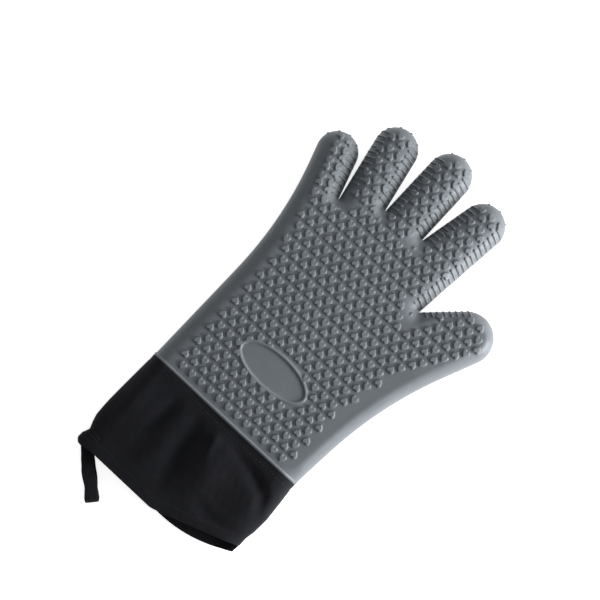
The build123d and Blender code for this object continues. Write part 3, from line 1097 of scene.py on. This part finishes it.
def build_liner(material):
    """The quilted cotton inside the silicone, in the same pieces."""
    inner_points = hex_grid(liner_step)
    inner_points = inner_points[outline.distance(inner_points)[0] > ring_run + 1.0]
    xy, faces, n, edge, nearest = flat_mesh(liner_step, inner_points)
    away = outward_of(xy, nearest)
    height, out, up = side_profile(xy, edge)
    quilt = quilt_height * np.abs(np.sin(xy[:, 0] / quilt_run) * np.sin(xy[:, 1] / quilt_run))
    layers = []
    for depth in (liner_inset, liner_inset + liner_wall - quilt):
        flat = xy - away * (depth * out)[:, None]
        for sign, level in ((1, height), (-1, height - smooth(edge / side_run) * back_relief)):
            inner = np.maximum(level - depth * up, 0.2)
            layers.append(np.column_stack([flat, half_thickness + sign * inner]))
    count = len(xy)
    points = np.concatenate(layers)
    owner = piece_labels(xy[faces].mean(1))
    band_owner = piece_labels((xy[: n - 1] + xy[1:n]) / 2)
    pieces = {}
    for label in sorted(set(owner)):
        mine = faces[owner == label]
        chosen = []
        for layer, step in enumerate((1, -1, -1, 1)):
            chosen += [tuple(layer * count + f[::step]) for f in mine]
        for i in np.flatnonzero(band_owner == label):
            chosen.append((i, count + i, count + i + 1, i + 1))
            chosen.append((2 * count + i + 1, 3 * count + i + 1, 3 * count + i, 2 * count + i))
        pieces[f"liner_{label}"], _ = part_mesh(f"liner_{label}_quilt", points, chosen, material)
    return pieces


# ---- assembly
def ride_digits(pieces, prefix):
    """Bakes each digit's base and tip pieces in place and hides the parts they stand for."""
    for name, digit in digits.items():
        for part, joint_at, half, bodies in (
            ("base", digit.knuckle, digit.bend_half, ("palm", f"{name}_base")),
            ("tip", digit.middle, middle_bend_half, (f"{name}_base", f"{name}_tip")),
        ):
            piece = pieces[f"{prefix}_{name}_{part}"]
            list(bodies)
            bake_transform(piece)
            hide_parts(f"{prefix}_{name}_{part}")


silicone = silicone_material()
cloth = twill_material("twill", (0.0060, 0.0064, 0.0088), (0.0112, 0.0118, 0.0152), 0.00055)
tape_cloth = twill_material("tape", (0.006, 0.006, 0.0075), (0.010, 0.010, 0.0122), 0.0008)
lining_cloth = plain_material("lining", (0.006, 0.0065, 0.009), (0.010, 0.0105, 0.0135), 0.9, 600, 0.05)
thread = plain_material("thread", (0.005, 0.0053, 0.0068), (0.009, 0.0094, 0.0115), 0.9, 2500, 0.0)
cotton = plain_material("liner_cotton", (0.36, 0.36, 0.35), (0.48, 0.48, 0.47), 0.95, 500, 0.3)

rubber = build_silicone(silicone)
for name, piece in rubber.items():
    if name.startswith("silicone_palm"):
        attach(piece, "palm")
        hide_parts("silicone_palm")
ride_digits(rubber, "silicone")

liner = build_liner(cotton)
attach(liner["liner_palm"], "palm")
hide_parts("liner_palm")
ride_digits(liner, "liner")

cuff = build_cuff(cloth, lining_cloth, thread)
seams = ("cuff_left_seam", "cuff_right_seam")
# piece, slot, flat size, the nodes it stands for
for name, slot, flat, *nodes in (
    ("cuff_front", "twill", "panel", "cuff_front_panel", *seams),
    ("cuff_back", "twill", "panel", "cuff_back_panel"),
    ("cuff_front_hem", "twill", "hem", "cuff_front_hem"),
    ("cuff_back_hem", "twill", "hem", "cuff_back_hem"),
    ("cuff_front_lining", "lining_cotton", "lining", "cuff_lining"),
    ("cuff_back_lining", "lining_cotton", "lining", "cuff_lining"),
    ("cuff_edge_stitches", "thread", None, "cuff_edge_stitches"),
    ("cuff_hem_stitches", "thread", None, "cuff_hem_stitches"),
    ("loop_bartack", "thread", None, "loop_bartack"),
):
    piece = cuff[name]
    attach(piece, "palm")
    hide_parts(*nodes)

loop = build_loop(tape_cloth)
loop_bend = 0.004 * loop_along  # half of a short stretch along the loop at its swing point, in metres
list(np.array(swing[:2]) - loop_bend)
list(np.array(swing[:2]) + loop_bend)
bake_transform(loop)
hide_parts("loop_tape", "loop_ends")


# ---- stage, camera and light
floor_size = 15000.0  # half of its width
floor_drop = -0.0004


def add_floor():
    s = Shader("floor")
    s.set(Base_Color=s.ramp(s.noise(3), (0.3, (0.88, 0.88, 0.88)), (0.7, (0.9, 0.9, 0.9))))
    s.set(Roughness=0.9, Specular_IOR_Level=0.1, Emission_Color=(1, 1, 1, 1), Emission_Strength=0.75)
    corners = [(x * floor_size, y * floor_size, 0) for x, y in ((-1, -1), (1, -1), (1, 1), (-1, 1))]
    floor = add_mesh("floor", corners, [(0, 1, 2, 3)], s.material)
    floor.location.z = floor_drop


camera_turn = math.radians(42.85)  # the glove points this far to the right of straight up
camera_tilt = math.radians(3.5)
camera_distance = 0.77
camera_target = (-0.0187, 0.1022, 0.014)
frame_width = 0.432
sensor_width = 36
camera_shift = 0.12  # of the frame's width, upwards


def add_camera():
    data = bpy.data.cameras.new("camera")
    data.sensor_width = sensor_width
    data.lens = sensor_width * camera_distance / frame_width
    data.shift_y = camera_shift
    camera = bpy.data.objects.new("camera", data)
    up = Vector((-math.sin(camera_turn), math.cos(camera_turn), 0))
    target = Vector(camera_target) - camera_shift * frame_width * up
    back = Vector((0, 0, math.cos(camera_tilt))) - math.sin(camera_tilt) * up
    side = up.cross(back).normalized()
    true_up = back.cross(side)
    turn = Matrix((side, true_up, back)).transposed()
    camera.matrix_world = Matrix.Translation(target + camera_distance * back) @ turn.to_4x4()
    bpy.context.collection.objects.link(camera)
    bpy.context.scene.camera = camera


def add_light(name, place, target, size, power):
    data = bpy.data.lights.new(name, "AREA")
    data.shape = "RECTANGLE"
    data.size, data.size_y = size
    data.energy = power
    light = bpy.data.objects.new(name, data)
    light.location = place
    light.rotation_euler = (Vector(target) - Vector(place)).to_track_quat("-Z", "Y").to_euler()
    bpy.context.collection.objects.link(light)


def add_world(strength):
    world = bpy.data.worlds.new("studio")
    world.use_nodes = True
    background = world.node_tree.nodes["Background"]
    background.inputs["Color"].default_value = (1, 1, 1, 1)
    background.inputs["Strength"].default_value = strength
    bpy.context.scene.world = world


add_camera()
add_floor()
aim = (0.01, 0.1, 0.01)
add_light("key", (0.90, 0.42, 0.27), aim, (0.4, 0.4), 20)
add_light("far", (0.25, 1.15, 0.5), aim, (0.6, 0.4), 7)
add_light("over", (0.1, 0.2, 1.3), aim, (1.2, 1.2), 2)
add_world(0.26)
bpy.context.scene.view_settings.view_transform = "Standard"
